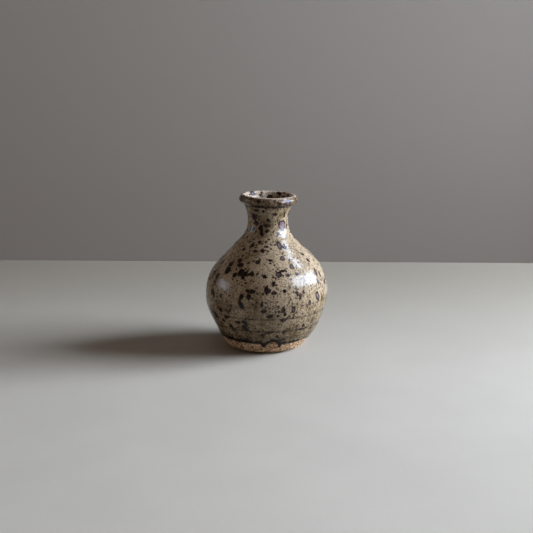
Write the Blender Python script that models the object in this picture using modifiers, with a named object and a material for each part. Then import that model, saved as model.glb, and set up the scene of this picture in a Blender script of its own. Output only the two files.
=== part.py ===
"""A small wheel-thrown bud vase in stoneware: the fired clay body, the glaze on its outside and the glaze that lines it.

The vase stands on Z = 0 with its turning axis on Z and its front towards -Y. The clay is drawn as one section line,
from the middle of the inner floor, up the inside, over the rolled rim, down the outside and in to the middle of the
base. Each glaze coat follows a stretch of that line at a small distance. Units are metres.
"""

import math

import bmesh
import bpy
from mathutils import Vector
from mathutils.geometry import interpolate_bezier

MM = 0.001

# Driving sizes of the finished vase, over its glaze
HEIGHT = 108.0 * MM
BELLY_RADIUS = 43.2 * MM
BELLY_HEIGHT = 37.5 * MM
NECK_RADIUS = 14.0 * MM
NECK_HEIGHT = 89.5 * MM
RIM_RADIUS = 20.5 * MM
FOOT_RADIUS = 26.5 * MM

# Clay. The inside is widest a little above the outside, and narrowest a little below it.
NECK_WALL = 3.2 * MM
BELLY_WALL = 4.0 * MM
FLOOR = 5.4 * MM
INSIDE_BELLY_RISE = 2.0 * MM
INSIDE_NECK_DROP = 1.0 * MM
FOOT_BEVEL = 1.4 * MM
FOOT_HEADING = 56.0

# Rolled rim, with its sizes measured in from its widest and down from its top
LIP_DROP = 1.2 * MM
LIP_HEADING = 60.0
RIM_ROLL_HEIGHT = 3.6 * MM
RIM_CROWN = 2.7 * MM
RIM_ROLL_WIDTH = 3.1 * MM
RIM_UNDERSIDE = 5.8 * MM
UNDERCUT_RADIUS = NECK_RADIUS + 2.5 * MM
UNDERCUT_HEADING = -120.0

# Glaze coats. The gap keeps the coats clear of the clay, which on the fired vase they are fused to.
GLAZE_THICKNESS = 0.5 * MM
GLAZE_GAP = 0.3 * MM
COAT = GLAZE_GAP + GLAZE_THICKNESS
THROAT_SEAM = HEIGHT - 8.0 * MM

# The glaze line above the foot: its mean height, how far it is up in front and how far it is down at the right
LINE_MEAN = 8.6 * MM
LINE_TILT = 0.4 * MM
LINE_DIP = 0.45 * MM
LINE_RADIUS = FOOT_RADIUS + 5.0 * MM
# Two runs and the hollow between them: (bearing in degrees from the front to +X, rise, half width in degrees)
LINE_WAVES = ((-2.5, -2.8 * MM, 3.6), (7.5, 1.9 * MM, 5.0), (16.5, -2.5 * MM, 3.2))
UNTRIMMED_EDGE = 5.2 * MM

TURN_STEPS = 40
LINE_STEPS = 144
MERGE_DISTANCE = 0.00001
CUTTER_RADIUS = 45.0 * MM
CUTTER_DROP = 10.0 * MM


def heading(degrees):
    """A unit vector in the section plane: 0 points outwards, 90 points up."""
    return Vector((math.cos(math.radians(degrees)), math.sin(math.radians(degrees))))


def smooth_line(knots):
    """Points along cubic curves through (radius, height, heading, reach back, reach on, steps to the next knot)."""
    points = [Vector(knots[0][:2])]
    for here, there in zip(knots, knots[1:]):
        start = Vector(here[:2])
        end = Vector(there[:2])
        leave = start + heading(here[2]) * here[4]
        arrive = end - heading(there[2]) * there[3]
        points += interpolate_bezier(start, leave, arrive, end, here[5] + 1)[1:]
    return points


def inside_line():
    """The clay's inner face, from the middle of the floor up to the inner edge of the rim."""
    throat = NECK_RADIUS - COAT - NECK_WALL
    belly = BELLY_RADIUS - COAT - BELLY_WALL
    lip = RIM_RADIUS - COAT - RIM_ROLL_WIDTH
    return smooth_line(
        (
            (0.0, FLOOR, 0.0, 0.0, 24.0 * MM, 8),
            (belly, BELLY_HEIGHT + INSIDE_BELLY_RISE, 90.0, 20.0 * MM, 26.0 * MM, 9),
            (throat, NECK_HEIGHT - INSIDE_NECK_DROP, 90.0, 17.0 * MM, 6.0 * MM, 6),
            (lip, HEIGHT - COAT - LIP_DROP, LIP_HEADING, 5.0 * MM, 0.0, 0),
        )
    )


def rim_line():
    """Over the rolled rim, from its inner edge to the hollow under the roll."""
    lip = RIM_RADIUS - COAT - RIM_ROLL_WIDTH
    top = HEIGHT - COAT
    return smooth_line(
        (
            (lip, top - LIP_DROP, LIP_HEADING, 0.0, 0.6 * MM, 2),
            (RIM_RADIUS - RIM_CROWN, top, 0.0, 0.5 * MM, 0.9 * MM, 3),
            (RIM_RADIUS - COAT, HEIGHT - RIM_ROLL_HEIGHT, -90.0, 1.6 * MM, 1.5 * MM, 3),
            (UNDERCUT_RADIUS, HEIGHT - RIM_UNDERSIDE, UNDERCUT_HEADING, 2.0 * MM, 0.0, 0),
        )
    )


def outside_line():
    """The clay's outer face, from the hollow under the roll down to the middle of the base."""
    bevel_top = Vector((FOOT_RADIUS, FOOT_BEVEL))
    return smooth_line(
        (
            (UNDERCUT_RADIUS, HEIGHT - RIM_UNDERSIDE, UNDERCUT_HEADING, 0.0, 3.0 * MM, 4),
            (NECK_RADIUS - COAT, NECK_HEIGHT, -90.0, 5.0 * MM, 20.0 * MM, 11),
            (BELLY_RADIUS - COAT, BELLY_HEIGHT, -90.0, 31.5 * MM, 10.0 * MM, 9),
            (*bevel_top, FOOT_HEADING - 180.0, 9.0 * MM, 0.6 * MM, 2),
            (FOOT_RADIUS - FOOT_BEVEL, 0.0, 180.0, 0.8 * MM, 8.0 * MM, 1),
            (0.0, 0.0, 180.0, 8.0 * MM, 0.0, 0),
        )
    )


def at_height(a, b, height):
    """The point of the stretch from a to b that lies at a height."""
    return a.lerp(b, (height - a.y) / (b.y - a.y))


def below(line, height):
    """The start of a rising line, up to a height."""
    kept = [p for p in line if p.y < height]
    return [*kept, at_height(kept[-1], line[len(kept)], height)]


def above(line, height):
    """The end of a rising line, from a height."""
    kept = [p for p in line if p.y > height]
    return [at_height(line[-len(kept) - 1], kept[0], height), *kept]


def beside(line, distance):
    """The line moved to its left, which is the clay's free side."""
    moved = []
    for i, point in enumerate(line):
        along = line[min(i + 1, len(line) - 1)] - line[max(i - 1, 0)]
        left = Vector((-along.y, along.x)).normalized()
        moved.append(point + left * distance)
    return moved


def turned(name, profile, closed):
    """A mesh object made by turning a profile of (radius, height) points once round Z."""
    mesh = bpy.data.meshes.new(name)
    count = len(profile)
    edges = [(i, i + 1) for i in range(count - 1)]
    if closed:
        edges.append((count - 1, 0))
    mesh.from_pydata([(p.x, 0.0, p.y) for p in profile], edges, [])
    piece = bpy.data.objects.new(name, mesh)
    screw = piece.modifiers.new("turning", "SCREW")
    screw.steps = TURN_STEPS
    screw.render_steps = TURN_STEPS
    screw.use_merge_vertices = True
    screw.merge_threshold = MERGE_DISTANCE
    screw.use_smooth_shade = True
    return piece


def on_axis(line):
    """The same line with its first point put exactly on the turning axis."""
    return [Vector((0.0, line[0].y)), *line[1:]]


def clay_material():
    return plain_material("raw_stoneware", (0.42, 0.25, 0.14, 1.0), 0.85)


def glaze_material(name):
    return plain_material(name, (0.20, 0.17, 0.11, 1.0), 0.18)


def plain_material(name, colour, roughness):
    material = bpy.data.materials.new(name)
    material.use_nodes = True
    shader = material.node_tree.nodes["Principled BSDF"]
    shader.inputs["Base Color"].default_value = colour
    shader.inputs["Roughness"].default_value = roughness
    shader.inputs["Metallic"].default_value = 0.0
    return material


def stoneware_body(inside, rim, outside):
    """The whole thrown pot, which is one piece of fired clay."""
    section = [*inside, *rim[1:], *outside[1:]]
    body = turned("stoneware_body", section, closed=False)
    body.data.materials.append(clay_material())
    return body


def liner_glaze(inside):
    """The glaze poured into the pot, a thin cup from the floor up to the seam in the throat."""
    wetted = below(inside, THROAT_SEAM - GLAZE_GAP)
    free_face = on_axis(beside(wetted, COAT))
    clay_face = on_axis(beside(wetted, GLAZE_GAP))
    liner = turned("liner_glaze", [*free_face, *reversed(clay_face)], closed=False)
    liner.data.materials.append(glaze_material("inner_glaze"))
    return liner


def outer_glaze(inside, rim, outside):
    """The glaze that the pot was dipped in, from the seam in the throat over the rim and down to the glaze line."""
    mouth = above(inside, THROAT_SEAM)
    wall = above(outside[::-1], UNTRIMMED_EDGE)[::-1]
    dipped = [*mouth, *rim[1:], *wall[1:]]
    free_face = beside(dipped, COAT)
    clay_face = beside(dipped, GLAZE_GAP)
    coat = turned("outer_glaze", [*free_face, *reversed(clay_face)], closed=True)
    coat.data.materials.append(glaze_material("dipped_glaze"))
    return coat


def glaze_line(bearing):
    """Height of the glaze's lower edge at a bearing in degrees from the front, towards +X."""
    turn = math.radians(bearing)
    height = LINE_MEAN + LINE_TILT * math.cos(turn) - LINE_DIP * math.sin(turn)
    for middle, rise, half_width in LINE_WAVES:
        away = (bearing - middle + 180.0) % 360.0 - 180.0
        height += rise * math.exp(-((away / half_width) ** 2))
    return height


def glaze_line_cutter():
    """A disc under the glaze whose top edge is the glaze line, to trim the dipped coat with."""
    shape = bmesh.new()
    bmesh.ops.create_cone(
        shape,
        cap_ends=True,
        cap_tris=True,
        segments=LINE_STEPS,
        radius1=CUTTER_RADIUS,
        radius2=CUTTER_RADIUS,
        depth=2 * CUTTER_DROP,
    )
    # The top is a fan from its middle, so a height at the coat's radius is stretched out to the disc's edge.
    stretch = CUTTER_RADIUS / LINE_RADIUS
    for vertex in shape.verts:
        if vertex.co.z < 0.0:
            continue
        across = vertex.co.xy.length
        bearing = math.degrees(math.atan2(vertex.co.x, -vertex.co.y))
        rise = glaze_line(bearing) - LINE_MEAN if across > 0.5 * CUTTER_RADIUS else 0.0
        vertex.co.z = LINE_MEAN + rise * stretch
    mesh = bpy.data.meshes.new("glaze_line_cutter")
    shape.to_mesh(mesh)
    shape.free()
    return bpy.data.objects.new("glaze_line_cutter", mesh)


def trim(piece, cutter):
    cut = piece.modifiers.new("glaze_line", "BOOLEAN")
    cut.operation = "DIFFERENCE"
    cut.object = cutter
    cutter.hide_render = True
    cutter.display_type = "WIRE"


def collection(name, *objects):
    group = bpy.data.collections.new(name)
    bpy.context.scene.collection.children.link(group)
    for item in objects:
        group.objects.link(item)


def main():
    for item in list(bpy.data.objects):
        bpy.data.objects.remove(item)
    inside, rim, outside = inside_line(), rim_line(), outside_line()
    body = stoneware_body(inside, rim, outside)
    liner = liner_glaze(inside)
    coat = outer_glaze(inside, rim, outside)
    cutter = glaze_line_cutter()
    trim(coat, cutter)
    collection("bud_vase", body, liner, coat)
    collection("cutters", cutter)


main()
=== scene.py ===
"""The looks of the bud vase: thrown stoneware with a speckled glaze coat outside and a poured glaze inside.

Every piece follows the clay's section line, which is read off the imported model. They share one set of small
departures from a perfect turned shape: the lean of the pot, the tilt of its rim and the marks of throwing.
"""

import math

import bmesh
import bpy
import numpy as np
from mathutils import Matrix, Vector, noise


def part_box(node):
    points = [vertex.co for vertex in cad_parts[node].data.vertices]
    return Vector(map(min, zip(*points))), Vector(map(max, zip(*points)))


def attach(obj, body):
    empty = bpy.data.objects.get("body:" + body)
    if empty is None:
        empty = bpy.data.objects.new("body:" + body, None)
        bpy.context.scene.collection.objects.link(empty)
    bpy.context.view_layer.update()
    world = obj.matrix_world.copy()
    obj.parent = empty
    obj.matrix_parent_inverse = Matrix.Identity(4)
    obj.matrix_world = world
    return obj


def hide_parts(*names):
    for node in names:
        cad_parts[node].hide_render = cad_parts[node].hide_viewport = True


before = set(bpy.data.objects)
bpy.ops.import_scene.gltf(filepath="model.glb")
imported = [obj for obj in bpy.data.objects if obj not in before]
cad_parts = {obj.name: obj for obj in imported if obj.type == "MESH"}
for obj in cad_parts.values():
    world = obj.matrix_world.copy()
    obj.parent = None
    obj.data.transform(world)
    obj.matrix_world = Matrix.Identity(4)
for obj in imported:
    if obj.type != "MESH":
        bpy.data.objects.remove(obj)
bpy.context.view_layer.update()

MM = 0.001

# ---------------------------------------------------------------- measures read off the frame

CLAY = "stoneware_body"
DIPPED = "outer_glaze"
POURED = "liner_glaze"
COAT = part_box(DIPPED)[1].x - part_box(CLAY)[1].x
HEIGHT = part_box(DIPPED)[1].z
SEAM_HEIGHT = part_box(POURED)[1].z

# ---------------------------------------------------------------- hand-made departures from the turned shape

# How far the pot leans towards +X, for each metre of height
LEAN = 0.0128
# The rim drops towards +X by this angle, from this height up
RIM_TILT = math.radians(1.3)
RIM_TILT_FROM = 92.0 * MM
# The pot is slightly oval: by how much of its radius, and turned by how many radians
OVAL = 0.0035
OVAL_TURN = 0.8

# Where the wall is off a true circle: (bearing, height, how far out, half width in degrees, half height).
# Every bearing is in degrees from the front, towards +X.
SWELLS = (
    (-90.0, 64.0 * MM, -1.3 * MM, 75.0, 7.5 * MM),
    (-90.0, 76.0 * MM, 0.7 * MM, 70.0, 4.5 * MM),
    (-90.0, 27.0 * MM, 0.5 * MM, 70.0, 7.0 * MM),
    (-90.0, 3.0 * MM, 1.4 * MM, 75.0, 7.0 * MM),
    (90.0, 15.0 * MM, 1.0 * MM, 70.0, 7.0 * MM),
)

# The glaze line above the foot: its mean height, how far up it is in front and how far down on the right
LINE_MEAN = 8.6 * MM
LINE_TILT = 0.4 * MM
LINE_DIP = 0.45 * MM
# Its runs and the hollow between them: (bearing, rise of the line, half its width in degrees)
LINE_WAVES = ((-2.5, -2.9 * MM, 3.0), (8.0, 2.0 * MM, 5.5), (17.4, -2.6 * MM, 2.2))
# Its unevenness: lumps in each radian of the turn, and how far the coarse and the fine ones reach
LINE_LUMPS = 5.0
LINE_COARSE = 0.45 * MM
LINE_FINE = 0.25 * MM
# How far up the coat its rows of points follow the line
LINE_FADE = 14.0 * MM
# The rounded edge of a coat, how deep its back lies in the clay, and how much thinner the poured coat is
BEAD_WIDTH = 0.9 * MM
SUNK = 0.1 * MM
POURED_THINNER = 0.15 * MM
# How far below the seam in the throat the dipped coat ends, and how far above it the poured coat starts
DIPPED_PAST_SEAM = 0.6 * MM
POURED_PAST_SEAM = 0.5 * MM

# Grooves left by the potter's fingers: (height, depth, half width, rise per turn)
GROOVES = (
    (19.8 * MM, 0.22 * MM, 0.8 * MM, 0.0),
    (29.3 * MM, 0.16 * MM, 0.8 * MM, 1.0 * MM),
    (14.5 * MM, 0.08 * MM, 0.9 * MM, 0.0),
    (37.5 * MM, 0.08 * MM, 1.2 * MM, 0.0),
    (64.3 * MM, 0.10 * MM, 1.5 * MM, 0.5 * MM),
    (69.4 * MM, 0.13 * MM, 1.3 * MM, 0.5 * MM),
    (78.0 * MM, 0.10 * MM, 1.8 * MM, 0.0),
)

# A groove this deep is full of iron dots, and shallower ones have fewer. Grooves above this height have none.
GROOVE_FULL = 0.16 * MM
DOTS_BELOW = 40.0 * MM

# The finest rings and the lumps of the thrown wall: millimetres from one to the next up the wall, how quickly
# the rings change round it, and how far both stand proud
FINE_RING_PITCH = 3.4
FINE_RING_TURNS = 2.2
FINE_RING_LIFT = 0.11 * MM
LUMP_PITCH = 22.0
LUMP_LIFT = 0.22 * MM

# The bare foot: how deep its chips are, how far its lower edge is cut back, and over what width
CHIP_DEPTH = 0.35 * MM
FOOT_CUT = 2.7 * MM
FOOT_CUT_WIDTH = 2.4 * MM
# The wire marks under the base: half their depth, their step for each radian, and how their lines curve
WIRE_DEPTH = 0.09 * MM
WIRE_STEP = 0.55 * MM
WIRE_BULGE = 18.0 * MM
WIRE_SPAN = 22.0 * MM

# The grids of points: columns round the pot, the step between rows of the dipped coat, and how far above the
# glaze line the clay's fine rows go
COLUMNS = 360
ROW_STEP = 0.68 * MM
FINE_ABOVE_LINE = 5.0 * MM
# Points closer than this are one point: in the packed clay, and in a new mesh
ONE_POINT = 1e-6
WELDED = 1e-7


# ---------------------------------------------------------------- the section line


def clay_section():
    """The clay's section as (radius, height) points, from the middle of the base round to the inner floor."""
    shape = bmesh.new()
    shape.from_mesh(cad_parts[CLAY].data)
    bmesh.ops.remove_doubles(shape, verts=shape.verts, dist=ONE_POINT)
    on_plane = {v for v in shape.verts if abs(v.co.y) < ONE_POINT and v.co.x > -ONE_POINT}
    here = min(on_plane, key=lambda v: (v.co.z, v.co.x))
    line = []
    while here:
        line.append((here.co.x, here.co.z))
        on_plane.discard(here)
        near = [e.other_vert(here) for e in here.link_edges]
        here = next((v for v in near if v in on_plane), None)
    shape.free()
    if line[0][0] > ONE_POINT:
        line.insert(0, (0.0, line[0][1]))
    return np.array(line)


def along(line):
    """The distance of each point of a line from its start, along it."""
    return np.concatenate([[0.0], np.cumsum(np.linalg.norm(np.diff(line, axis=0), axis=1))])


class Section:
    """A smooth curve through the points of a section line, read by the distance along it."""

    def __init__(self, line):
        self.line = line
        self.way = along(line)
        self.slope = np.gradient(line, self.way, axis=0)
        self.slope[:2] = (1.0, 0.0)
        self.slope[-1] = (-1.0, 0.0)

    def at(self, way):
        """The (radius, height) points at distances along the line."""
        i = np.clip(np.searchsorted(self.way, way, side="right") - 1, 0, len(self.way) - 2)
        step = (self.way[i + 1] - self.way[i])[..., None]
        t = ((way - self.way[i]) / (self.way[i + 1] - self.way[i]))[..., None]
        point = self.line[i] * (1 + 2 * t) * (1 - t) ** 2 + self.line[i + 1] * t * t * (3 - 2 * t)
        return point + step * (self.slope[i] * t * (1 - t) ** 2 + self.slope[i + 1] * t * t * (t - 1))

    def facing(self, way):
        """The unit normal on the clay's free side."""
        reach = 0.25 * MM
        ahead = np.clip(way + reach, 0.0, self.way[-1])
        behind = np.clip(way - reach, 0.0, self.way[-1])
        run = self.at(ahead) - self.at(behind)
        out = np.stack([run[..., 1], -run[..., 0]], axis=-1)
        return out / np.linalg.norm(out, axis=-1, keepdims=True)


def split_section(line):
    """The section's distances along it at the foot's edge, at the rim's crown and at the end."""
    way = along(line)
    crown = int(np.argmax(line[:, 1]))
    foot = int(np.argmax(line[:, 1] > ONE_POINT)) - 1
    return way[foot], way[crown], way[-1]


clay_line = clay_section()
section = Section(clay_line)
FOOT_WAY, CROWN_WAY, END_WAY = split_section(clay_line)


def way_up_outside(height):
    """Distance along the section to a height on the outside."""
    ways = np.linspace(FOOT_WAY, CROWN_WAY, 2000)
    return np.interp(height, section.at(ways)[:, 1], ways)


def way_down_inside(height):
    """Distance along the section to a height on the inside."""
    ways = np.linspace(CROWN_WAY, END_WAY, 2000)
    return np.interp(-height, -section.at(ways)[:, 1], ways)


# ---------------------------------------------------------------- the hand-made surface


def fade(value, start, end):
    """0 before start, 1 after end, smooth between them."""
    t = np.clip((value - start) / (end - start), 0.0, 1.0)
    return t * t * (3.0 - 2.0 * t)


def soft_noise(points, size, seed):
    """Smooth noise from about -1 to 1 at each point, with lumps of the given size."""
    shift = Vector((seed * 7.13, seed * 3.71, seed * 5.37))
    flat = points.reshape(-1, 3) / size
    values = [noise.noise(Vector(p) + shift) for p in flat]
    return np.array(values).reshape(points.shape[:-1])


def throwing_marks(bearing, place):
    """How far the outside wall stands proud of the turned shape, from the potter's fingers."""
    height = place[..., 1]
    turn = bearing / 360.0
    to_front = np.cos(np.radians(bearing))
    to_side = np.sin(np.radians(bearing))
    up = height / MM
    spiral = [to_front * FINE_RING_TURNS, to_side * FINE_RING_TURNS, up / FINE_RING_PITCH + turn]
    lift = FINE_RING_LIFT * soft_noise(np.stack(spiral, axis=-1), 1.0, 1)
    lumps = [to_front, to_side, up / LUMP_PITCH]
    lift += LUMP_LIFT * soft_noise(np.stack(lumps, axis=-1), 1.0, 2)
    for groove_height, depth, half_width, rise in GROOVES:
        away = (height - groove_height - rise * turn) / half_width
        lift -= depth * np.exp(-away * away)
    return lift


def bearing_gap(bearing, middle):
    """How far bearings are from a middle one, in degrees from -180 to 180."""
    return (bearing - middle + 180.0) % 360.0 - 180.0


def swell(bearing, height):
    """How far the wall is from a true circle at its height, as an amount of radius."""
    total = np.zeros(np.broadcast(bearing, height).shape)
    for middle, middle_height, amount, half_width, half_height in SWELLS:
        across = bearing_gap(bearing, middle) / half_width
        up = (height - middle_height) / half_height
        total += amount * np.exp(-across * across - up * up)
    return total


def place_on_pot(bearing, way, lift):
    """Points in the frame, from bearings, distances along the section and lifts off the clay."""
    flat = section.at(way)
    outside = 1.0 - fade(way, CROWN_WAY - 4.0 * MM, CROWN_WAY)
    above_foot = fade(way, FOOT_WAY + 0.5 * MM, FOOT_WAY + 3.0 * MM)
    marks = throwing_marks(bearing, flat) * outside * above_foot
    flat = flat + section.facing(way) * (lift + marks)[..., None]
    height = flat[..., 1]
    radius = flat[..., 0] + swell(bearing, height) * fade(flat[..., 0], 8.0 * MM, 25.0 * MM)
    turn = np.radians(bearing)
    oval = 1.0 + OVAL * np.cos(2 * turn + OVAL_TURN) * fade(height, 2.0 * MM, 20.0 * MM)
    x = radius * oval * np.sin(turn) + LEAN * height
    y = -radius * oval * np.cos(turn)
    z = height - x * math.tan(RIM_TILT) * fade(height, RIM_TILT_FROM, HEIGHT)
    return np.stack([x, y, np.maximum(z, 0.0)], axis=-1)


def grid_piece(name, points, loop):
    """A smooth mesh object from rows of points round the pot. loop also joins the last row to the first."""
    rows, columns = points.shape[:2]
    index = np.arange(rows * columns).reshape(rows, columns)
    low = index if loop else index[:-1]
    high = np.roll(index, -1, axis=0) if loop else index[1:]
    faces = np.stack([low, np.roll(low, -1, axis=1), np.roll(high, -1, axis=1), high], axis=-1).reshape(-1, 4)
    mesh = bpy.data.meshes.new(name)
    mesh.from_pydata(points.reshape(-1, 3).tolist(), [], faces.tolist())
    mesh.shade_smooth()
    piece = bpy.data.objects.new(name, mesh)
    bpy.context.scene.collection.objects.link(piece)
    return piece


def weld(piece):
    """Joins the points that lie on each other, at the middle of the base and of the floor."""
    shape = bmesh.new()
    shape.from_mesh(piece.data)
    bmesh.ops.remove_doubles(shape, verts=shape.verts, dist=WELDED)
    shape.to_mesh(piece.data)
    shape.free()


def store(piece, name, values):
    """Keeps one number for each point of a piece, for its material to read."""
    attribute = piece.data.attributes.new(name, "FLOAT", "POINT")
    attribute.data.foreach_set("value", np.ascontiguousarray(values, np.float32).reshape(-1))


def rows_between(*stretches):
    """Distances along the section: (start, end, step) stretches, end to end."""
    parts = [np.linspace(a, b, max(2, round((b - a) / step) + 1))[:-1] for a, b, step in stretches]
    return np.concatenate([*parts, [stretches[-1][1]]])


def bearings(columns):
    return np.arange(columns) * 360.0 / columns - 180.0


# ---------------------------------------------------------------- iron blotches in the glaze

# The largest blotches of the front, from the neck down: (bearing, height, half width and half length in
# millimetres, lean of its length to the right in degrees, how pale its heart is from 0 to 1)
BLOTCHES = (
    # neck
    (-41, 94, 1.9, 2.3, 0, 0.3), (-36, 90, 1.1, 1.7, -15, 0), (-30, 99, 1.6, 0.8, 0, 0),
    (-19, 102, 2.6, 0.6, 0, 0), (25, 102.3, 1.5, 0.5, 0, 0), (-6.5, 88.5, 1.1, 1.3, 0, 0),
    (0, 92.2, 1.3, 1, 30, 0), (19.5, 96.4, 1.1, 0.9, 0, 0), (-13, 98.6, 0.8, 0.7, 0, 0),
    (50, 96.4, 0.5, 1.2, 25, 0), (-42.5, 85.3, 1, 1, 0, 0), (-20, 86.4, 1.4, 1.8, 0, 0),
    (-16, 83.0, 1, 2.1, -15, 0), (-4, 84.3, 0.9, 0.9, 0, 0), (43.5, 88, 3.1, 3.4, 0, 1),
    (66, 86.5, 0.8, 1.4, 0, 0), (78, 95.5, 1, 1.7, 0, 0.6),
    # top of the shoulder
    (-17.5, 77, 1, 1, 0, 0), (-30, 74.7, 1.1, 1.3, 0, 0), (-2, 74.4, 1.3, 0.7, 0, 0),
    (22.5, 75, 1.5, 3.2, 0, 0.8), (-8.5, 72, 1.6, 1.2, 0, 0), (-20, 71.6, 1.5, 0.9, 0, 0),
    (-43, 71.8, 0.9, 1.2, 0, 0), (32, 73.5, 1.1, 1.4, 0, 0.9), (3.3, 66.8, 1, 0.9, 0, 0),
    (20.7, 67.6, 1.4, 1.8, 0, 0.9), (59, 68.2, 0.9, 1.3, 0, 0.4),
    # shoulder
    (-38.5, 65.3, 1.5, 1.4, 0, 0), (-34, 63, 2.2, 1.5, 0, 0), (-12.5, 65.6, 1.5, 1.5, 0, 0.6),
    (-49, 62.3, 1.6, 1.7, 0, 0), (-48, 58.8, 2.3, 2.4, 0, 0), (-69, 61.5, 0.9, 1.9, 0, 0),
    (29.5, 62.5, 1.3, 1.9, 0, 0.9), (61, 64.2, 1.2, 1.5, -30, 0.3), (-29, 59, 2.2, 2.4, 0, 0),
    (-25, 56.5, 0.8, 1.3, 0, 0), (-23.5, 58.6, 1.1, 1.5, 0, 0), (-17, 58.6, 1.9, 1.3, 0, 0),
    (-35.5, 57, 1.3, 1.6, 0, 0), (-2.5, 57.5, 1.2, 1, 0, 0), (12, 58.7, 2.1, 1.9, 0, 0.6),
    (17, 60.5, 1.3, 0.6, 0, 0), (21.5, 58, 1.2, 1.1, 30, 0.3), (32.5, 58, 1.2, 0.8, 0, 0.8),
    (61, 56.5, 1.2, 2.4, 15, 0.7), (67.5, 54, 0.9, 1.5, 0, 0.5), (-70, 53.5, 1.5, 2.7, 5, 0.3),
    (-59.5, 53.5, 1.4, 2.2, 0, 0.3), (6, 53.4, 1, 1.3, 0, 0), (58.5, 50.8, 0.9, 1.4, -20, 0),
    (28, 50, 0.6, 1, 0, 0.4),
    # belly
    (-59, 49.3, 0.8, 1.3, 0, 0), (74, 48.3, 1.2, 1.9, 0, 0.6), (-18, 48.5, 1.2, 0.8, 0, 0),
    (-13.5, 48.2, 1.7, 1.1, 0, 0), (-0.5, 49.2, 1.3, 2.3, 0, 0), (2, 48.8, 1, 1, 0, 0),
    (6.5, 47.6, 1.5, 1.1, 0, 0), (16.5, 48.5, 1, 1.1, 0, 0), (28.7, 46.3, 0.8, 1.6, -10, 0.3),
    (32, 44, 0.8, 2, 8, 0.4), (36, 46.5, 0.7, 1.2, 0, 0.6), (54.5, 41.5, 1.7, 2.9, -12, 1),
    (62.5, 39.3, 0.8, 1.4, 0, 0.4), (-60.5, 43, 1.9, 2.1, 0, 0), (-57, 41.3, 0.9, 1.6, 0, 0),
    (-46.5, 42.5, 0.9, 1.3, 0, 0), (-23.5, 44.6, 1.4, 1.4, 0, 0), (-16.5, 44.6, 1.3, 1.6, 0, 0),
    (-23.5, 39, 1.5, 2.9, -32, 0), (-4.5, 40, 0.9, 1.3, 0, 0.5), (43, 38.6, 0.9, 1.5, -15, 0.6),
    # under the belly
    (-47, 33, 1.3, 1.6, 0, 0), (-40, 28.7, 1.6, 0.9, 0, 0), (-2.5, 35.4, 1.6, 1.1, 0, 0.3),
    (25, 35.8, 1.2, 2, 25, 0.6),
    (15, 35.9, 1.2, 1.7, 0, 0.2), (17, 33, 0.9, 1.2, 0, 0), (3, 31.8, 1.6, 1.4, 0, 0.4),
    (52.5, 30.2, 0.9, 1, 0, 0), (-56.5, 27.5, 1.3, 2.4, -40, 0), (16, 28.9, 1.7, 0.9, 0, 0),
    (-51, 22.5, 1.2, 1.2, 0, 0), (-46.5, 25.2, 1.2, 1.2, 0, 0), (-28, 26, 1.6, 1.1, 0, 0),
    (-21, 26.2, 1.3, 2.1, -40, 0),
    (-21.5, 21.8, 1.5, 2.7, -38, 0), (52, 23.7, 0.9, 1.5, 40, 0), (40.5, 22.3, 1, 1.1, 30, 0),
    # just above the foot
    (-37, 20.8, 1.3, 2.8, -18, 0), (-4, 17, 1.4, 0.9, 0, 0.4), (0.5, 19, 1.3, 0.5, 0, 0),
    (-49.5, 12.5, 1.3, 0.8, 0, 0), (15.5, 12.4, 1.2, 1.5, 0, 0.3), (20, 13.2, 1, 1.3, 0, 0.3),
    (36, 19.6, 1.4, 0.5, 0, 0), (42, 19.2, 1.6, 0.6, 0, 0), (55, 18.3, 1.4, 0.5, 0, 0),
)
# Blotches on the rolled rim and in the mouth: (bearing, millimetres past the crown, inwards, then as above)
RIM_BLOTCHES = (
    (41, -3.4, 2.0, 1.4, 0, 1.0), (-70, -1.2, 1.6, 1.0, 0, 0.4), (-20, -2.6, 1.0, 0.7, 0, 0),
    (12, -2.2, 0.8, 0.6, 0, 0), (22, -3.6, 0.9, 0.6, 0, 0), (68, -2.8, 0.8, 0.8, 0, 0),
    (-135, 1.6, 2.4, 1.2, 0, 0.8), (-158, 3.2, 0.9, 0.7, 0, 0.3), (176, 5.0, 2.0, 2.0, 0, 0.5),
    (150, 2.0, 1.0, 1.0, 0, 0), (135, 3.8, 1.4, 1.0, 0, 0), (120, 1.8, 1.0, 0.7, 0, 0),
    (-110, -1.0, 1.2, 0.8, 0, 0), (105, -1.6, 1.3, 0.8, 0, 0.3), (-165, -0.8, 1.0, 0.6, 0, 0),
    (165, -1.2, 1.1, 0.6, 0, 0),
)
# The sides and back, from this bearing round to the same one on the left, have this many more. They lie
# between these heights in millimetres, and are thinned out where the pot is narrower than its belly.
SIDE_FROM = 76.0
BACK_BLOTCHES = 220
BACK_LOW = 12.0
BACK_HIGH = 101.0
BELLY_RADIUS = 43.0
# The distance from a blotch, in millimetres, at which it has no more effect
SPREAD = 2.0
# Where each series of dice starts: the places of the blotches behind, and the outlines of them all
PLACE_SEED = 29
OUTLINE_SEED = 7


def back_blotches():
    """Blotches of the same kinds all over the sides and back."""
    dice = np.random.default_rng(PLACE_SEED)
    made = []
    while len(made) < BACK_BLOTCHES:
        bearing = dice.uniform(SIDE_FROM, 360.0 - SIDE_FROM)
        height = dice.uniform(BACK_LOW, BACK_HIGH)
        radius = section.at(way_up_outside(height * MM))[0] / MM
        half_width = 0.6 + 1.5 * dice.beta(1.1, 3.6)
        half_length = half_width * dice.uniform(0.8, 1.7)
        lean = dice.normal(0.0, 18.0)
        pale = dice.uniform(0.2, 1.0) if half_width > 1.2 and dice.random() < 0.5 else 0.0
        kept = dice.random() < radius / BELLY_RADIUS
        crowded = any(
            math.hypot(math.radians(bearing - b) * radius, height - h) < 0.9 * (half_width + w)
            for b, h, w, *_ in made
        )
        if kept and not crowded:
            made.append((bearing, height, half_width, half_length, lean, pale))
    return made


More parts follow.
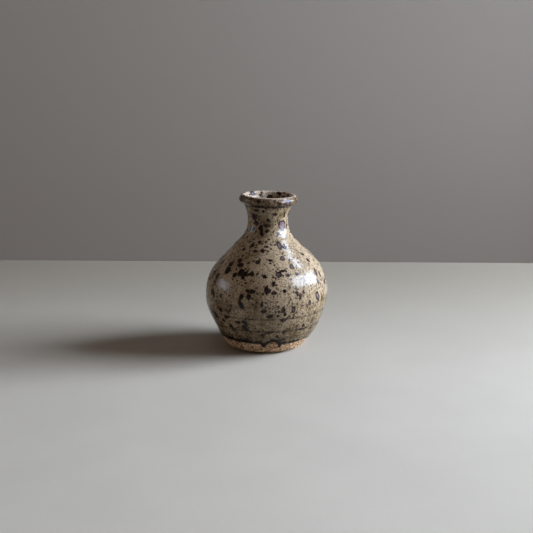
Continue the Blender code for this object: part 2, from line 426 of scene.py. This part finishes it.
def all_blotches():
    """Every blotch with its place as a distance along the section."""
    placed = [(b, way_up_outside(h * MM), *rest) for b, h, *rest in (*BLOTCHES, *back_blotches())]
    return placed + [(b, CROWN_WAY + past * MM, *rest) for b, past, *rest in RIM_BLOTCHES]


def blotch_fields(bearing, way):
    """The distance in millimetres from each point to the nearest blotch's edge, below 0 inside it, and how
    far the point is in that blotch's pale heart."""
    radius = np.maximum(section.at(way)[..., 0], 1.0 * MM) / MM
    nearest = np.full(bearing.shape, SPREAD)
    heart = np.zeros(bearing.shape)
    dice = np.random.default_rng(OUTLINE_SEED)
    for middle, middle_way, half_width, half_length, lean, pale in all_blotches():
        wobble = dice.normal(0.0, 0.09 - 0.04 * pale, 3)
        phase = dice.uniform(0.0, 2 * math.pi, 3)
        across = np.radians(bearing_gap(bearing, middle)) * radius
        up = (way - middle_way) / MM
        c = math.cos(math.radians(lean))
        s = math.sin(math.radians(lean))
        u = (across * c - up * s) / half_width
        v = (across * s + up * c) / half_length
        turn = np.arctan2(v, u)
        ripple = sum(w * np.cos(k * turn + p) for k, w, p in zip((2, 3, 5), wobble, phase))
        distance = (np.hypot(u, v) / (1.0 + ripple) - 1.0) * min(half_width, half_length)
        inside = fade(-distance, 0.25, 0.8)
        heart = np.where(distance < nearest, pale * inside, heart)
        nearest = np.minimum(nearest, distance)
    return nearest, heart


# ---------------------------------------------------------------- the pieces


def glaze_line_height(bearing):
    """Height of the dipped glaze's lower edge."""
    turn = np.radians(bearing)
    height = LINE_MEAN + LINE_TILT * np.cos(turn) - LINE_DIP * np.sin(turn)
    for middle, rise, half_width in LINE_WAVES:
        height = height + rise * np.exp(-((bearing_gap(bearing, middle) / half_width) ** 4))
    ring = np.stack([np.cos(turn) * LINE_LUMPS, np.sin(turn) * LINE_LUMPS, np.zeros_like(turn)], axis=-1)
    return height + LINE_COARSE * soft_noise(ring, 1.0, 5) + LINE_FINE * soft_noise(ring, 0.3, 6)


def run_strength(bearing):
    """1 at the middle of each run of glaze and 0 away from them."""
    total = np.zeros(bearing.shape)
    for middle, rise, half_width in LINE_WAVES:
        if rise < 0.0:
            total += np.exp(-((bearing_gap(bearing, middle) / half_width) ** 4))
    return np.clip(total, 0.0, 1.0)


def bead(distance):
    """The rounded edge of a coat: 0 at its end, 1 from a bead's width on."""
    t = np.clip(distance / BEAD_WIDTH, 0.0, 1.0)
    return np.sqrt(1.0 - (1.0 - t) ** 2)


def dipped_coat():
    """The outer coat: from the glaze line up the outside, over the rim and down to the seam in the throat."""
    low = float(way_up_outside(LINE_MEAN))
    high = float(way_down_inside(SEAM_HEIGHT - DIPPED_PAST_SEAM))
    edge_steps = BEAD_WIDTH * np.linspace(0.0, 1.0, 7) ** 2
    middle = rows_between((low + BEAD_WIDTH, high - BEAD_WIDTH, ROW_STEP))
    front = np.concatenate([low + edge_steps[:-1], middle, high - edge_steps[-2::-1]])
    back = rows_between((high, low, -6.0 * MM))[1:-1]
    ways, bearing = np.meshgrid(np.concatenate([front, back]), bearings(COLUMNS), indexing="ij")
    line_way = way_up_outside(glaze_line_height(bearings(COLUMNS)))[None, :]
    way = ways + (line_way - low) * (1.0 - fade(ways, low, low + LINE_FADE))
    above_line = way - line_way
    body = bead(ways - low) * bead(high - ways)
    drop = 0.25 * MM * run_strength(bearing) * np.exp(-(((above_line / MM - 1.7) / 1.7) ** 2))
    roll = 0.10 * MM * np.exp(-(((above_line / MM - 1.3) / 0.9) ** 2))
    lift = (COAT + SUNK + drop + roll) * body - SUNK
    lift[len(front):] = -SUNK
    piece = grid_piece("dipped_glaze", place_on_pot(bearing, way, lift), loop=True)
    nearest, heart = blotch_fields(bearing, way)
    store(piece, "blotch", nearest)
    store(piece, "heart", heart)
    # The dark band on the line is thinner on the right, thicker on the left, and thickest on the runs
    thin = 1.3 * fade(bearing, 15.0, 45.0) * (1.0 - fade(bearing, 120.0, 160.0))
    thick = 1.2 * fade(bearing, -75.0, -60.0) * (1.0 - fade(bearing, -25.0, -10.0))
    on_runs = 2.5 * run_strength(bearing)
    store(piece, "above_line", above_line / MM + thin - thick - on_runs)
    store(piece, "past_crown", (way - CROWN_WAY) / MM)
    store(piece, "groove", groove_depth(bearing, way))
    return piece


def groove_depth(bearing, way):
    """1 at the bottom of a finger groove on the outside, 0 away from them."""
    height = section.at(way)[..., 1]
    total = np.zeros(bearing.shape)
    for groove_height, depth, half_width, rise in GROOVES:
        away = (height - groove_height - rise * bearing / 360.0) / (0.8 * half_width)
        total += depth / GROOVE_FULL * np.exp(-away * away) * (groove_height < DOTS_BELOW)
    return np.minimum(total, 1.0) * (way < CROWN_WAY)


def poured_coat():
    """The inner coat, from under the dipped coat's end down over the inner floor."""
    top = float(way_down_inside(SEAM_HEIGHT + POURED_PAST_SEAM))
    edge_steps = BEAD_WIDTH * np.linspace(0.0, 1.0, 6) ** 2
    front = np.concatenate([top + edge_steps[:-1], rows_between((top + BEAD_WIDTH, END_WAY, 1.1 * MM))])
    back = rows_between((END_WAY, top, -5.0 * MM))[:-1]
    way, bearing = np.meshgrid(np.concatenate([front, back]), bearings(COLUMNS // 2), indexing="ij")
    lift = (COAT + SUNK - POURED_THINNER) * bead(way - top) - SUNK
    lift[len(front):] = -SUNK
    piece = grid_piece("poured_glaze", place_on_pot(bearing, way, lift), loop=True)
    weld(piece)
    return piece


def thrown_clay():
    """The clay: its bare foot and base in full detail, and plainer under the glaze."""
    covered = float(way_up_outside(LINE_MEAN + FINE_ABOVE_LINE))
    ways = rows_between(
        (0.0, FOOT_WAY - 1.0 * MM, 0.7 * MM),
        (FOOT_WAY - 1.0 * MM, FOOT_WAY + 3.0 * MM, 0.16 * MM),
        (FOOT_WAY + 3.0 * MM, covered, 0.3 * MM),
        (covered, CROWN_WAY - 8.0 * MM, 3.0 * MM),
        (CROWN_WAY - 8.0 * MM, CROWN_WAY + 8.0 * MM, 0.8 * MM),
        (CROWN_WAY + 8.0 * MM, END_WAY, 3.0 * MM),
    )
    way, bearing = np.meshgrid(ways, bearings(COLUMNS), indexing="ij")
    lift = foot_roughness(bearing, way)
    piece = grid_piece("thrown_clay", place_on_pot(bearing, way, lift), loop=False)
    weld(piece)
    return piece


def foot_roughness(bearing, way):
    """The coarse skin of the bare foot, and the curved marks of the wire that cut the pot off its wheel."""
    flat = section.at(way)
    turn = np.radians(bearing)
    x = flat[..., 0] * np.sin(turn)
    y = -flat[..., 0] * np.cos(turn)
    skin = np.stack([x, y, flat[..., 1]], axis=-1)
    bare = fade(way, FOOT_WAY - 2.0 * MM, FOOT_WAY) * (1.0 - fade(flat[..., 1], 11.0 * MM, 14.0 * MM))
    rough = 0.10 * MM * soft_noise(skin, 1.1 * MM, 8) + 0.16 * MM * soft_noise(skin, 3.6 * MM, 9)
    chips = -CHIP_DEPTH * fade(soft_noise(skin, 2.6 * MM, 10), 0.42, 0.62)
    wire = np.sin((y + WIRE_BULGE * np.cos(x / WIRE_SPAN)) / WIRE_STEP)
    under = 1.0 - fade(way, FOOT_WAY - 3.0 * MM, FOOT_WAY - 1.0 * MM)
    cut = -FOOT_CUT * np.exp(-(((way - FOOT_WAY + 1.4 * MM) / FOOT_CUT_WIDTH) ** 2))
    return (rough + chips) * bare + cut - WIRE_DEPTH * (1.0 + wire) * under


# ---------------------------------------------------------------- materials


class Shades:
    """Adds nodes to one material. A value is a number, a colour, or what another node gives.

    place is the point in the frame in millimetres, and across, back and height are its x, y and z.
    """

    def __init__(self, name):
        self.material = bpy.data.materials.new(name)
        self.material.use_nodes = True
        self.nodes = self.material.node_tree.nodes
        self.links = self.material.node_tree.links
        self.shader = self.nodes["Principled BSDF"]
        metres = self.nodes.new("ShaderNodeTexCoord").outputs["Object"]
        self.place = self.scaled(metres, (1 / MM, 1 / MM, 1 / MM))
        self.across, self.back, self.height = self.add("ShaderNodeSeparateXYZ", {0: self.place}).outputs

    def put(self, socket, value):
        if isinstance(value, bpy.types.NodeSocket):
            self.links.new(value, socket)
        elif socket.type == "RGBA" and len(value) == 3:
            socket.default_value = (*value, 1.0)
        else:
            socket.default_value = value

    def add(self, kind, values=(), **settings):
        node = self.nodes.new(kind)
        for name, setting in settings.items():
            setattr(node, name, setting)
        for name, value in dict(values).items():
            self.put(node.inputs[name], value)
        return node

    def scaled(self, vector, scale):
        return self.add("ShaderNodeVectorMath", {0: vector, 1: scale}, operation="MULTIPLY").outputs[0]

    def maths(self, operation, a, b=0.0):
        return self.add("ShaderNodeMath", {0: a, 1: b}, operation=operation).outputs[0]

    def plus(self, *values):
        total = values[0]
        for value in values[1:]:
            total = self.maths("ADD", total, value)
        return total

    def times(self, *values):
        total = values[0]
        for value in values[1:]:
            total = self.maths("MULTIPLY", total, value)
        return total

    def most(self, a, b):
        return self.maths("MAXIMUM", a, b)

    def ramp(self, value, start, end):
        """0 at start and 1 at end, smooth between them."""
        settings = {"Value": value, "From Min": start, "From Max": end}
        return self.add("ShaderNodeMapRange", settings, interpolation_type="SMOOTHSTEP").outputs["Result"]

    def near(self, value, middle, outer, inner):
        """1 within inner of a middle value and 0 beyond outer, smooth between them."""
        return self.ramp(self.maths("ABSOLUTE", self.plus(value, -middle)), outer, inner)

    def noise(self, size, detail=2.0, stretch=(1.0, 1.0, 1.0), distortion=0.0):
        """Noise from 0 to 1 with lumps of a size in millimetres."""
        vector = self.scaled(self.place, tuple(1.0 / (size * s) for s in stretch))
        settings = {"Vector": vector, "Scale": 1.0, "Detail": detail, "Distortion": distortion}
        return self.add("ShaderNodeTexNoise", settings).outputs["Fac"]

    def specks(self, spacing, share, smallest, largest):
        """Round specks with soft edges: the share of places that have one, and their radii in millimetres."""
        bend = self.add("ShaderNodeTexNoise", {"Vector": self.place, "Scale": 1.1, "Detail": 1.0})
        parts = {0: bend.outputs["Color"], 1: self.place}
        bent = self.add("ShaderNodeVectorMath", parts, operation="ADD").outputs[0]
        cells = self.add("ShaderNodeTexVoronoi", {"Vector": bent, "Scale": 1.0 / spacing})
        chance, size, _ = self.add("ShaderNodeSeparateColor", {0: cells.outputs["Color"]}).outputs
        radius = self.plus(smallest, self.times(size, largest - smallest))
        away = self.times(cells.outputs["Distance"], spacing)
        spot = self.maths("SUBTRACT", 1.0, self.ramp(self.maths("SUBTRACT", away, radius), -0.09, 0.09))
        return self.times(spot, self.maths("LESS_THAN", chance, share))

    def mix(self, amount, a, b):
        values = {"Factor": amount, 6: a, 7: b}
        return self.add("ShaderNodeMix", values, data_type="RGBA").outputs[2]

    def attribute(self, name):
        return self.add("ShaderNodeAttribute", attribute_name=name).outputs["Fac"]

    def bump(self, depth, lift):
        """Bump from a value from 0 to 1 that stands for a depth in millimetres."""
        node = self.add("ShaderNodeBump", {"Strength": 1.0, "Distance": depth * MM, "Height": lift})
        self.put(self.shader.inputs["Normal"], node.outputs["Normal"])

    def finish(self, colour, roughness):
        self.put(self.shader.inputs["Base Color"], colour)
        self.put(self.shader.inputs["Roughness"], roughness)
        return self.material


# The colours of the dipped glaze: its ground, its specks, its blotches and its rim
OLIVE = (0.119, 0.082, 0.034)
DEEP_OLIVE = (0.070, 0.047, 0.012)
TAN = (0.368, 0.286, 0.204)
FINE_SPECK = (0.060, 0.034, 0.018)
IRON = (0.006, 0.003, 0.002)
IRON_RIM = (0.052, 0.027, 0.017)
IRON_SPECK = (0.024, 0.013, 0.009)
# Specks towards the window side: lighter and redder, as a painted sheen
SPECK_SHEEN = (0.080, 0.050, 0.038)
# Pale purple iron, mostly towards the window side, as a painted sheen
IRON_PURPLE_SHEEN = (0.050, 0.033, 0.032)
PALE_HEART = (0.185, 0.132, 0.146)
BROKEN = (0.072, 0.034, 0.025)
# The pale crest of the rim, which is also a painted sheen on the inner lip
CREST_AND_SHEEN = (0.490, 0.402, 0.338)
POURED_BROWN = (0.12, 0.075, 0.045)
# The colours of the bare clay: as fired, toasted, its pale grains, its pits, its iron grains and its grog
CLAY_BUFF = (0.455, 0.275, 0.145)
CLAY_TOASTED = (0.335, 0.165, 0.072)
CLAY_GRAIN = (0.68, 0.48, 0.30)
CLAY_PIT = (0.100, 0.045, 0.020)
CLAY_IRON = (0.035, 0.020, 0.014)
GROG = (0.78, 0.61, 0.44)


def glaze_base(shades):
    """The glaze between its blotches: olive, deeper low down, more tan from the belly up and less again at
    the neck, with runs and fine specks.
    """
    clouds = shades.noise(15.0, 3.0)
    runs = shades.noise(3.2, 3.0, (1.0, 1.0, 5.0), 0.4)
    mottle = shades.noise(1.6, 4.0)
    # Colour by height: more tan from the belly up, less again at the neck
    thin = shades.plus(
        shades.times(shades.ramp(shades.height, 14.0, 52.0), 0.24),
        shades.times(shades.ramp(shades.height, 74.0, 90.0), -0.20),
    )
    warm = shades.plus(shades.times(clouds, 0.9), shades.times(runs, 0.7), shades.times(mottle, 1.1), thin)
    colour = shades.mix(shades.ramp(warm, 1.13, 1.73), OLIVE, TAN)
    colour = shades.mix(shades.times(shades.ramp(shades.height, 36.0, 16.0), 0.32), colour, DEEP_OLIVE)
    fine = shades.ramp(shades.noise(0.9, 2.5), 0.53, 0.63)
    return shades.mix(shades.times(fine, 0.5), colour, FINE_SPECK)


def rim_colour(shades, ground, past):
    """The ground with the rim's colours on it: reddish and broken outside and inside, with a pale crest that
    runs on into the mouth as a painted sheen on the inner lip.
    """
    broken = shades.ramp(shades.noise(1.2, 3.0), 0.47, 0.52)
    roll = shades.near(past, -2.8, 4.6, 2.6)
    colour = shades.mix(shades.times(roll, broken, 0.75), ground, BROKEN)
    # The pale crest along the rim's top, carried on into the mouth as a painted sheen on the inner lip
    crest = shades.near(past, 2.2, 3.7, 2.5)
    colour = shades.mix(shades.times(crest, 0.70), colour, CREST_AND_SHEEN)
    inside = shades.ramp(past, 0.5, 2.0)
    return shades.mix(shades.times(inside, broken, 0.5), colour, BROKEN)


def iron_specks(shades, above_line):
    """Where the small and the tiny specks are. They crowd together in places and near the glaze line."""
    low = shades.times(shades.ramp(above_line, 8.0, 2.0), 0.5)
    crowd = shades.plus(0.45, shades.ramp(shades.noise(9.0, 2.0), 0.40, 0.60), low)
    middling = shades.specks(4.1, shades.times(crowd, 0.42), 0.55, 1.25)
    small = shades.most(middling, shades.specks(2.3, shades.times(crowd, 0.85), 0.30, 1.00))
    tiny = shades.specks(1.1, shades.times(crowd, 0.90), 0.15, 0.44)
    return small, tiny


def iron_marks(shades, blotch, past, lumps):
    """Where the iron lies thick: in the blotches, in the crease under the rim's roll and in the grooves. The
    dark line in the crease is painted shade as well as iron.
    """
    uneven = shades.plus(past, shades.times(lumps, 4.0))
    # Painted shade and iron: a dark, broken line in the crease under the rim's roll
    pool_and_shade = shades.near(uneven, -7.7, 1.8, 1.2)
    pool_and_shade = shades.times(pool_and_shade, shades.ramp(shades.noise(1.8, 2.0), 0.38, 0.48))
    dots = shades.times(shades.attribute("groove"), shades.ramp(shades.noise(1.6, 2.0), 0.44, 0.52))
    return shades.most(shades.times(dots, 0.9), shades.most(blotch, pool_and_shade))


def dipped_glaze():
    """The outer glaze: iron blotches with pale hearts, specks, a dark band along its lower edge, and a
    reddish rim with a pale crest. A painted sheen makes the specks paler and redder and the blotches paler
    and purple on the right, and makes the inner lip pale."""
    shades = Shades("dipped_glaze")
    past = shades.attribute("past_crown")
    above_line = shades.attribute("above_line")
    ragged = shades.maths("SUBTRACT", shades.noise(1.1, 3.0), 0.5)
    lumps = shades.maths("SUBTRACT", shades.noise(2.6, 2.0), 0.5)
    edge = shades.plus(shades.attribute("blotch"), ragged)
    blotch = shades.ramp(edge, 0.22, 0.02)
    halo = shades.ramp(edge, 0.60, 0.18)
    small, tiny = iron_specks(shades, above_line)
    marks = iron_marks(shades, blotch, past, lumps)
    spots = shades.most(small, marks)
    above = shades.plus(above_line, shades.times(ragged, 5.5), shades.times(lumps, 9.0))
    band = shades.ramp(above, 3.7, 2.9)

    colour = rim_colour(shades, glaze_base(shades), past)
    colour = shades.mix(shades.times(halo, 0.8), colour, IRON_RIM)
    colour = shades.mix(shades.times(tiny, 0.9), colour, IRON_RIM)
    # Painted sheen: the specks turn lighter and redder towards +X, the window side
    speck = shades.mix(shades.ramp(shades.across, 4.0, 34.0), IRON_SPECK, SPECK_SHEEN)
    colour = shades.mix(shades.times(small, 0.95), colour, speck)
    # Painted sheen: the iron marks turn paler and purple towards +X, the window side
    sheen_side = shades.plus(0.2, shades.times(shades.ramp(shades.across, -8.0, 16.0), 0.8))
    purple = shades.ramp(shades.noise(2.6, 2.0), 0.42, 0.60)
    dark = shades.mix(shades.times(purple, sheen_side), IRON, IRON_PURPLE_SHEEN)
    colour = shades.mix(marks, colour, dark)
    heart = shades.maths("POWER", shades.attribute("heart"), 2.5)
    clear = shades.ramp(shades.noise(0.9, 2.0), 0.35, 0.50)
    colour = shades.mix(shades.times(heart, blotch, clear), colour, PALE_HEART)
    colour = shades.mix(band, colour, IRON)

    smooth = shades.noise(2.2, 1.0)
    fine = shades.times(shades.noise(0.8, 1.0), 0.35)
    dimple = shades.times(spots, -0.35)
    pinholes = shades.times(shades.specks(2.6, 0.18, 0.08, 0.2), -0.8)
    shades.bump(0.06, shades.plus(smooth, fine, dimple, pinholes))
    wear = shades.times(shades.noise(9.0, 2.0), 0.07)
    roughness = shades.plus(0.13, wear, shades.times(spots, 0.10), shades.times(band, 0.10))
    shades.shader.inputs["Specular IOR Level"].default_value = 0.20
    return shades.finish(colour, roughness)


def poured_glaze():
    """The inner glaze: the same recipe poured thin, browner and glossier."""
    shades = Shades("poured_glaze")
    colour = shades.mix(0.45, glaze_base(shades), POURED_BROWN)
    small = shades.specks(3.0, 0.4, 0.2, 0.8)
    colour = shades.mix(small, colour, IRON)
    shades.bump(0.05, shades.noise(2.5, 1.0))
    return shades.finish(colour, shades.plus(0.14, shades.times(shades.noise(8.0), 0.08)))


def bare_clay():
    """Coarse buff stoneware, toasted in places, with grog and iron grains."""
    shades = Shades("bare_stoneware")
    toast = shades.noise(8.0, 3.0)
    grain = shades.noise(1.7, 4.0)
    colour = shades.mix(shades.ramp(toast, 0.40, 0.62), CLAY_BUFF, CLAY_TOASTED)
    colour = shades.mix(shades.ramp(grain, 0.51, 0.57), colour, CLAY_GRAIN)
    pits = shades.ramp(shades.noise(1.6, 3.0), 0.53, 0.59)
    colour = shades.mix(shades.times(pits, 0.9), colour, CLAY_PIT)
    iron = shades.specks(1.8, 0.6, 0.20, 0.60)
    colour = shades.mix(iron, colour, CLAY_IRON)
    grog = shades.specks(1.8, 0.6, 0.22, 0.62)
    colour = shades.mix(shades.times(grog, 0.75), colour, GROG)
    coarse = (shades.times(grog, 0.35), shades.times(iron, -0.3), shades.times(pits, -0.4))
    shades.bump(0.45, shades.plus(grain, *coarse))
    return shades.finish(colour, shades.plus(0.80, shades.times(grain, 0.12)))


# ---------------------------------------------------------------- the vase

clay = thrown_clay()
clay.data.materials.append(bare_clay())
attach(clay, "root")
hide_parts(CLAY)

outer = dipped_coat()
outer.data.materials.append(dipped_glaze())
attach(outer, "root")
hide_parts(DIPPED)

inner = poured_coat()
inner.data.materials.append(poured_glaze())
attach(inner, "root")
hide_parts(POURED)


# ---------------------------------------------------------------- stage, light and camera

# Where the floor ends behind the vase, where the wall stands, how low and how high it goes, and how far both
# reach to the sides
FLOOR_BACK = 0.27
WALL_BACK = 0.60
WALL_LOW = -1.0
WALL_TOP = 2.0
SPAN = 3.0
FLOOR_GREY = (0.402, 0.374, 0.346)
# The floor's colour at the back of the room: darker, as painted shade where the light falls off
FLOOR_FALLOFF_SHADE = (0.266, 0.240, 0.208)
WALL_GREY = (0.305, 0.276, 0.259)
BLACK = (0.0, 0.0, 0.0)


def plain_matt(name, colour, falloff_colour, depth):
    """A plain matt surface with a faint unevenness. Painted shade turns it to another colour towards the back
    of the room, and darkens it far out to the right, under the window."""
    shades = Shades(name)
    tone = shades.ramp(shades.noise(60.0, 3.0), 0.3, 0.7)
    colour = shades.mix(tone, tuple(0.96 * c for c in colour), colour)
    # Painted shade: darker towards the back of the room, where the light falls off
    deep = shades.ramp(shades.back, -120.0, 260.0)
    colour = shades.mix(deep, colour, falloff_colour)
    # Painted shade: darker far out to the right, on the floor and the wall near the window
    painted_window_shade = shades.ramp(shades.across, 300.0, 800.0)
    colour = shades.mix(shades.times(painted_window_shade, 0.72), colour, BLACK)
    shades.bump(depth, shades.noise(3.0, 3.0))
    shades.shader.inputs["Specular IOR Level"].default_value = 0.0
    return shades.finish(colour, shades.plus(0.62, shades.times(tone, 0.05)))


def plain_sheet(name, corners, material):
    mesh = bpy.data.meshes.new(name)
    mesh.from_pydata(corners, [], [(0, 1, 2, 3)])
    mesh.materials.append(material)
    sheet = bpy.data.objects.new(name, mesh)
    bpy.context.scene.collection.objects.link(sheet)
    return sheet


plain_sheet(
    "floor",
    [(-SPAN, -SPAN, 0), (SPAN, -SPAN, 0), (SPAN, FLOOR_BACK, 0), (-SPAN, FLOOR_BACK, 0)],
    plain_matt("pale_floor", FLOOR_GREY, FLOOR_FALLOFF_SHADE, 0.05),
)
plain_sheet(
    "wall",
    [
        (-SPAN, WALL_BACK, WALL_LOW),
        (SPAN, WALL_BACK, WALL_LOW),
        (SPAN, WALL_BACK, WALL_TOP),
        (-SPAN, WALL_BACK, WALL_TOP),
    ],
    plain_matt("grey_wall", WALL_GREY, WALL_GREY, 0.02),
)

LIGHT_SPREAD = math.radians(150.0)


def soft_light(name, place, aim, size, power, colour, shine=False, roll=0.0):
    """A rectangular area light at place that faces aim, its power in watts. A shine is seen only as a
    highlight, and any other light only as light on things. roll turns it in its own plane, in degrees."""
    light = bpy.data.lights.new(name, "AREA")
    light.shape = "RECTANGLE"
    light.size, light.size_y = size
    light.energy = power
    light.color = colour
    light.spread = math.pi if shine else LIGHT_SPREAD
    lamp = bpy.data.objects.new(name, light)
    lamp.location = place
    facing = (Vector(aim) - Vector(place)).to_track_quat("-Z", "Y").to_matrix()
    lamp.rotation_euler = (facing @ Matrix.Rotation(math.radians(roll), 3, "Z")).to_euler()
    lamp.visible_camera = False
    lamp.visible_diffuse = not shine
    lamp.visible_glossy = shine
    bpy.context.scene.collection.objects.link(lamp)


COOL = (0.78, 0.89, 1.0)
SKY = (0.60, 0.76, 1.0)
PALE = (1.0, 0.95, 0.88)
WARM = (1.0, 0.88, 0.74)
VASE_MIDDLE = (0.0, 0.0, 0.07)
soft_light("window", (1.2, 0.02, 0.52), (0.0, -0.70, 0.30), (0.90, 0.50), 47.0, COOL)
soft_light("room_glow", (1.2, 0.0, 0.55), (0.0, -0.6, 0.1), (0.7, 0.7), 5.0, PALE)
soft_light("far_glow", (-1.6, -0.1, 0.30), (0.0, 0.0, 0.05), (0.6, 0.35), 1.5, WARM)
soft_light("top_glow", (-0.2, -0.1, 1.4), (-0.2, -0.1, 0.0), (1.0, 1.0), 0.8, PALE)
# The shine of the window stands in front of the wall, which would hide part of it otherwise
WINDOW_PLACE = (0.958, 0.085, 0.433)
WINDOW_AIM = (0.092, 0.586, 0.433)
soft_light("window_shine", WINDOW_PLACE, WINDOW_AIM, (1.20, 0.44), 50.5, SKY, shine=True, roll=-4.2)
soft_light("upper_shine", (1.18, 0.63, 1.56), VASE_MIDDLE, (0.80, 0.95), 62.0, SKY, shine=True, roll=-49.0)
soft_light("far_shine", (-1.6, 0.06, 0.42), (0.0, 0.0, 0.05), (0.85, 0.50), 5.0, SKY, shine=True)

ROOM_GREY = (0.119, 0.092, 0.066, 1.0)
world = bpy.data.worlds.new("room")
world.use_nodes = True
world.node_tree.nodes["Background"].inputs["Color"].default_value = ROOM_GREY
bpy.context.scene.world = world
bpy.context.scene.view_settings.view_transform = "Standard"

CAMERA_PLACE = (0.00023, -0.6604, 0.2066)
CAMERA_LENS = 64.7
CAMERA_PITCH = math.radians(12.81)
CAMERA_ROLL = math.radians(0.32)
camera_data = bpy.data.cameras.new("camera")
camera_data.lens = CAMERA_LENS
camera_data.clip_start = 0.01
camera = bpy.data.objects.new("camera", camera_data)
facing = Matrix.Rotation(math.pi / 2 - CAMERA_PITCH, 4, "X") @ Matrix.Rotation(CAMERA_ROLL, 4, "Z")
camera.matrix_world = Matrix.Translation(CAMERA_PLACE) @ facing
bpy.context.scene.collection.objects.link(camera)
bpy.context.scene.camera = camera
